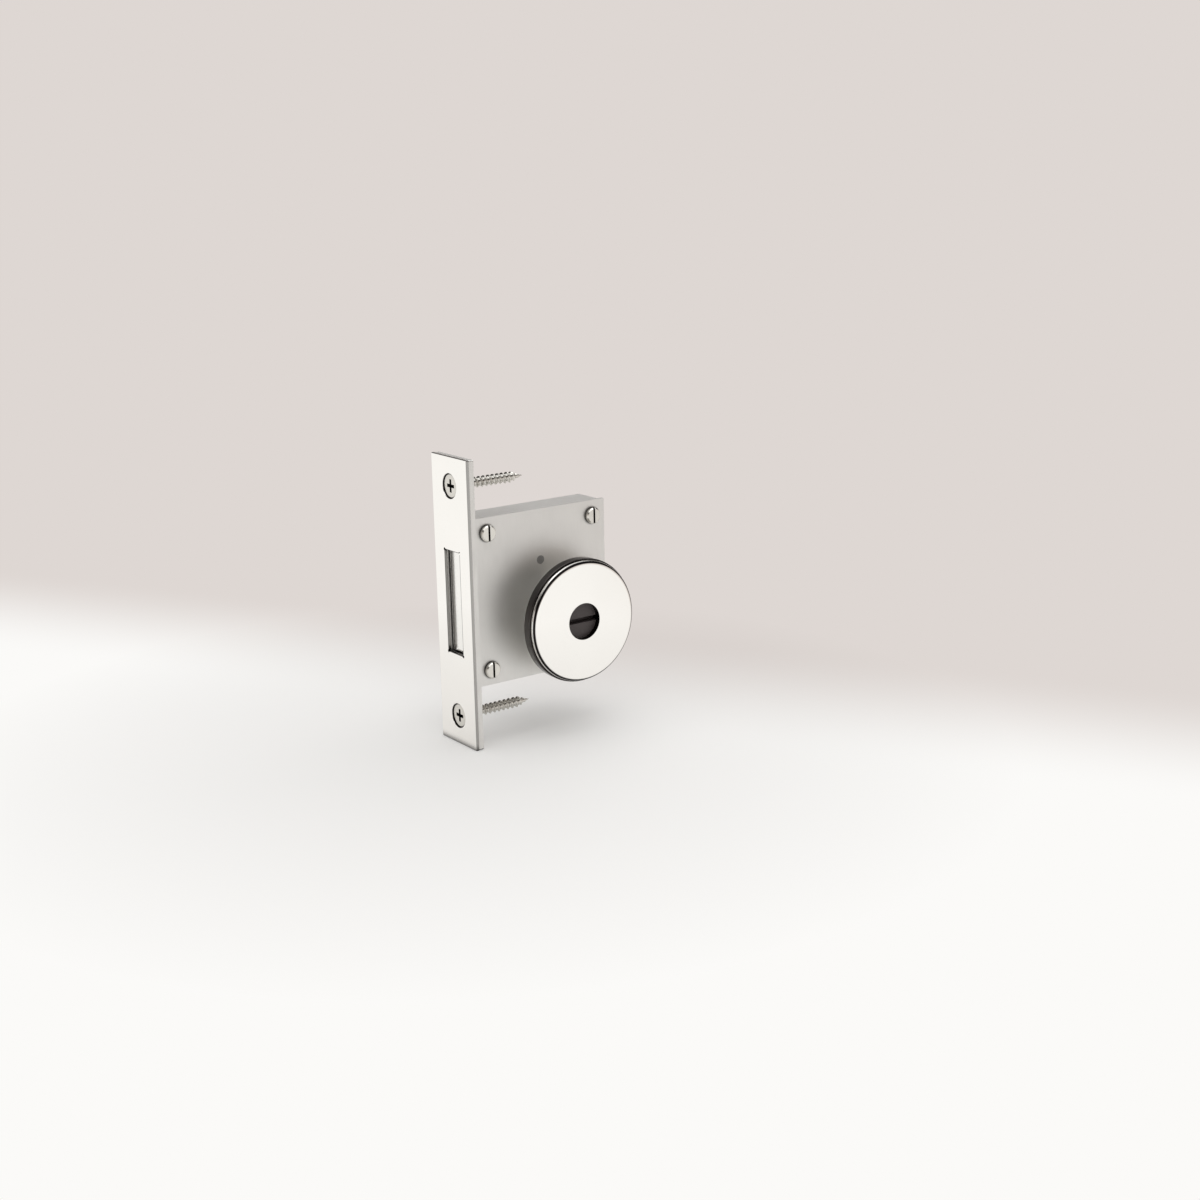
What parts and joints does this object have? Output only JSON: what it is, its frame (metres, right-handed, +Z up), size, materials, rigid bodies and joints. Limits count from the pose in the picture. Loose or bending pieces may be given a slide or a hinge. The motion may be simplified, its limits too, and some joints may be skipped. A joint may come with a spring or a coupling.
{
  "type": "auxiliary door lock",
  "caption": "Mortise dead bolt lock: slim edge plate with a drawn-back rectangular bolt, folded steel case, and a chromed round rosette with a slotted turn on each door face.",
  "frame": {"origin": "middle of the forend's back face, where it seats on the door's edge, halfway between the two edge screws", "axes": "+Z up along the faceplate, +X into the door along the edge screws, -Y towards the outer rosette"},
  "size_m": [0.0623, 0.0434, 0.103],
  "materials": {
    "chrome_plate": "bright chrome plating",
    "black_nickel": "black nickel plating",
    "satin_chrome": "satin chrome plating",
    "zinc_steel": "zinc-plated sheet steel",
    "screw_steel": "bright nickel-plated steel",
    "turned_steel": "turned and stamped steel",
    "spring_steel": "blued spring steel",
    "bush_brass": "turned brass",
    "dark_plug": "matt dark grey coated zinc alloy"
  },
  "bodies": {
    "case": {"faceplate": "chrome_plate", "forend": "zinc_steel", "faceplate_screws": "screw_steel", "case_body": "zinc_steel", "case_cover": "zinc_steel", "cover_posts": "turned_steel", "cover_screws": "screw_steel", "bolt_guide_post": "turned_steel", "bolt_spring": "spring_steel", "follower_bush_outer": "bush_brass", "follower_bush_inner": "bush_brass", "rosette_base_outer": "black_nickel", "rosette_base_inner": "black_nickel", "rosette_cover_outer": "chrome_plate", "rosette_cover_inner": "chrome_plate", "rosette_screws_outer": "screw_steel", "rosette_screws_inner": "screw_steel"},
    "bolt": {"bolt_head": "satin_chrome", "bolt_tail": "turned_steel", "bolt_rivets": "turned_steel"},
    "turn": {"follower": "turned_steel", "crank_pin": "turned_steel", "spindle": "turned_steel", "turn_plug_outer": "dark_plug", "turn_plug_inner": "dark_plug"}
  },
  "joints": [
    {"name": "key_turn", "type": "hinge", "parent": "case", "child": "turn", "pos_m": [0.037, 0, -0.0093], "axis": [0, -1, 0], "range_deg": [0, 90]},
    {"name": "bolt_slide", "type": "slide", "parent": "case", "child": "bolt", "axis": [-1, 0, 0], "range_m": [0, 0.02]}
  ],
  "couplings": [
    {"joint": "key_turn", "follows": "bolt_slide", "rad_per_m": 78.54}
  ]
}
